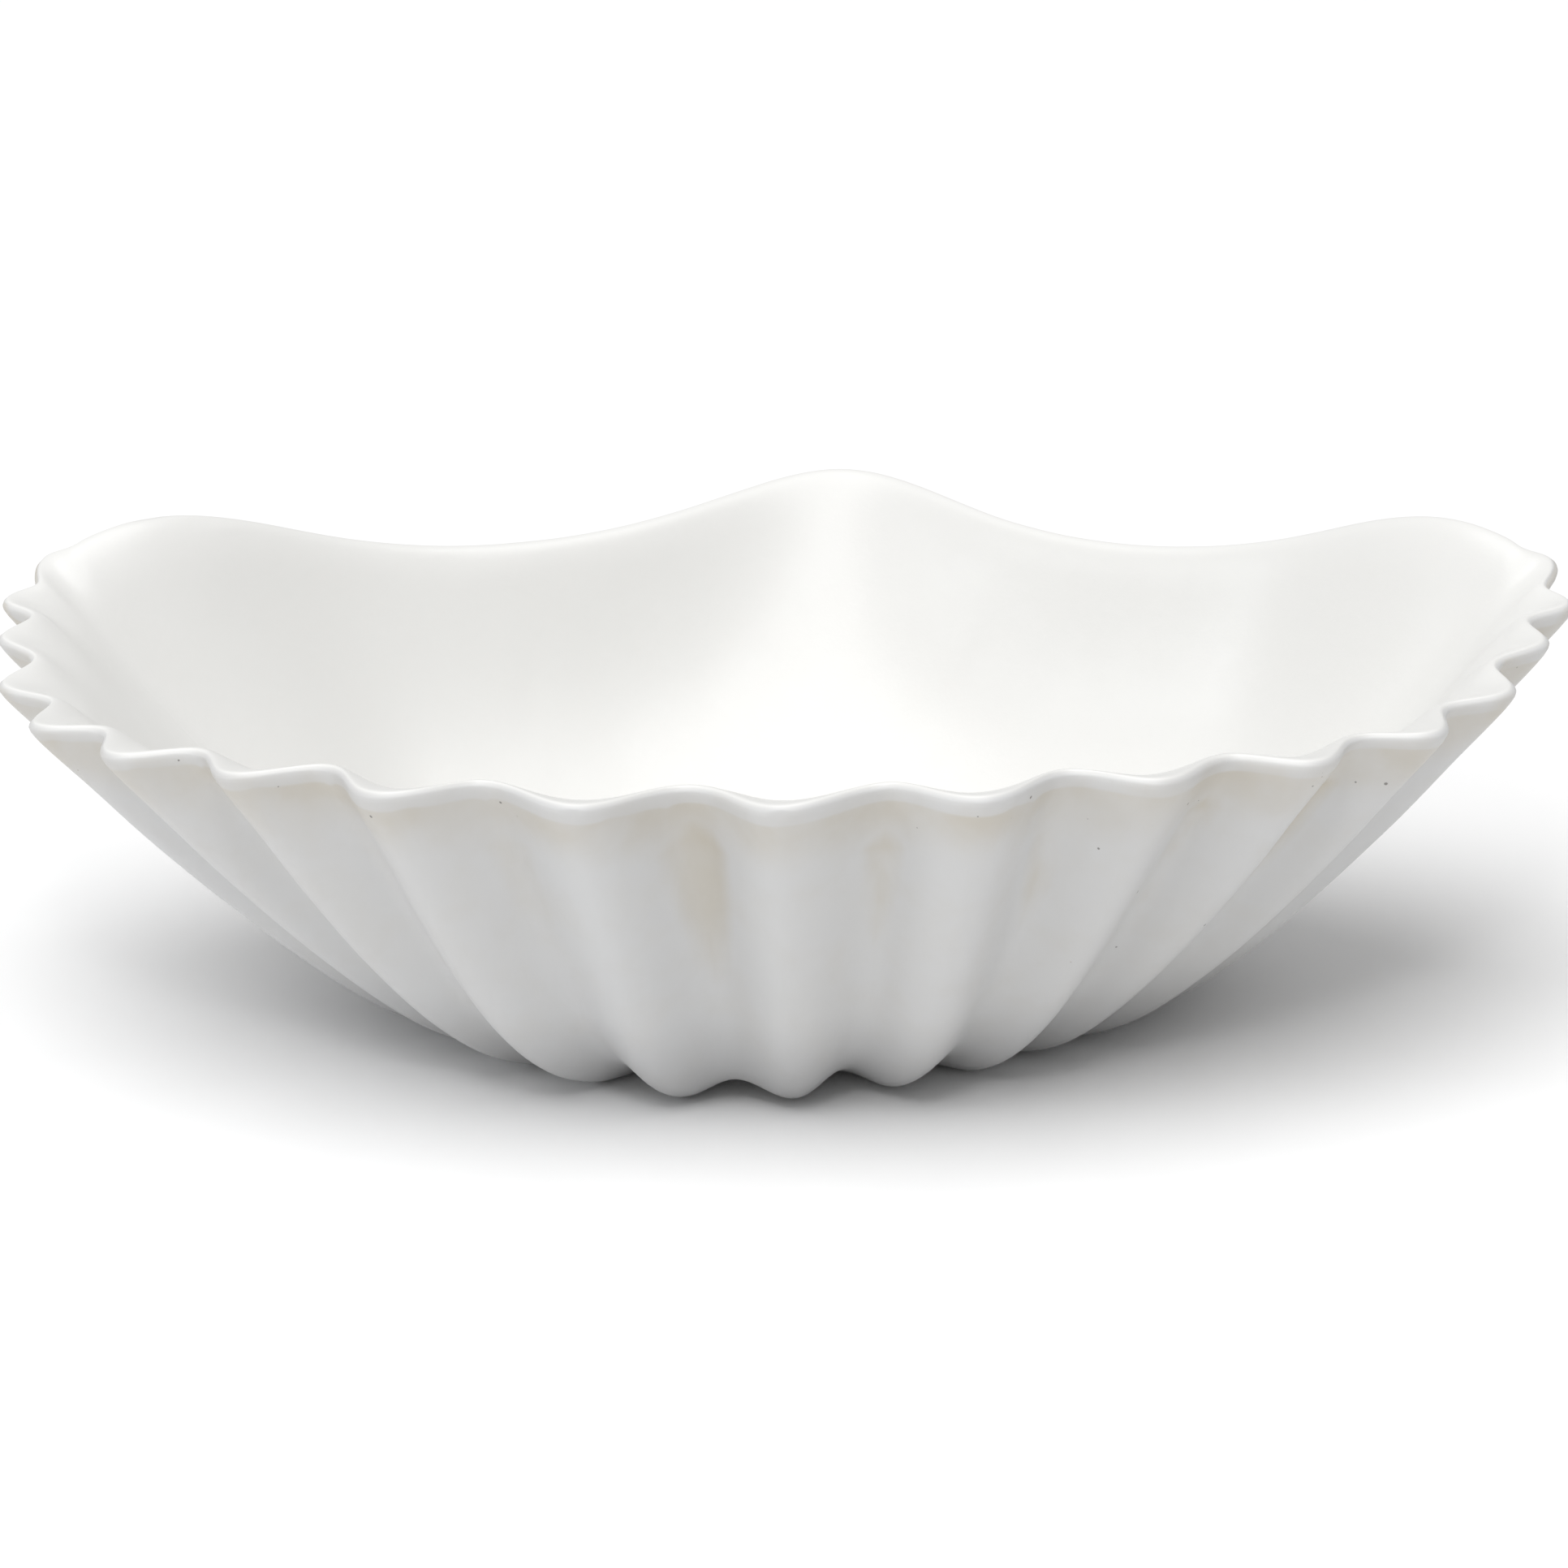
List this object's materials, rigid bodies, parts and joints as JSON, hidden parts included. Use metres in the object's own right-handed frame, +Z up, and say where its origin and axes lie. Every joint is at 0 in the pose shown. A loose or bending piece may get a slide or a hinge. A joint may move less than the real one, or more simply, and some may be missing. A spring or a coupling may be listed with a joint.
{
  "type": "scallop-shell bowl",
  "caption": "White cast bowl in the form of a scallop shell, with a ribbed outside, a lobed rim, a smooth inside and a plain back under a waved edge.",
  "frame": {"origin": "middle of the box around the bowl, on the surface that it rests on", "axes": "+X to the right, +Y towards the plain back wall, +Z up"},
  "size_m": [0.5902, 0.3888, 0.1643],
  "materials": {
    "shell": "satin cast, smooth inside and out, with a few pinholes"
  },
  "bodies": {
    "root": {"shell": "shell"}
  },
  "joints": []
}
